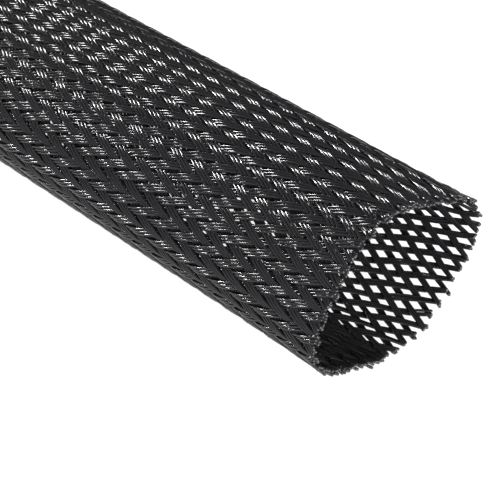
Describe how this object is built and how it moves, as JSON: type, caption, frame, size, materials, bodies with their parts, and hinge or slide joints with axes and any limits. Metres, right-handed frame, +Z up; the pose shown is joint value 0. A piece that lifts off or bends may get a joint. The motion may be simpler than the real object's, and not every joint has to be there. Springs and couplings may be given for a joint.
{
  "type": "braided cable sleeve",
  "caption": "Straight length of black open-weave braided cable sleeve, slightly flattened, cut square at both ends, for bundling and guarding cables.",
  "frame": {"origin": "under the middle of the sleeve's length, on the surface it lies on", "axes": "+X along the sleeve towards its front mouth, +Z up, +Y across the flattened width"},
  "size_m": [0.3048, 0.0224, 0.017],
  "materials": {
    "braid": "black polyester monofilament in an open two-over two-under braid, slightly glossy"
  },
  "bodies": {
    "root": {"braided_sleeve": "braid"}
  },
  "joints": []
}
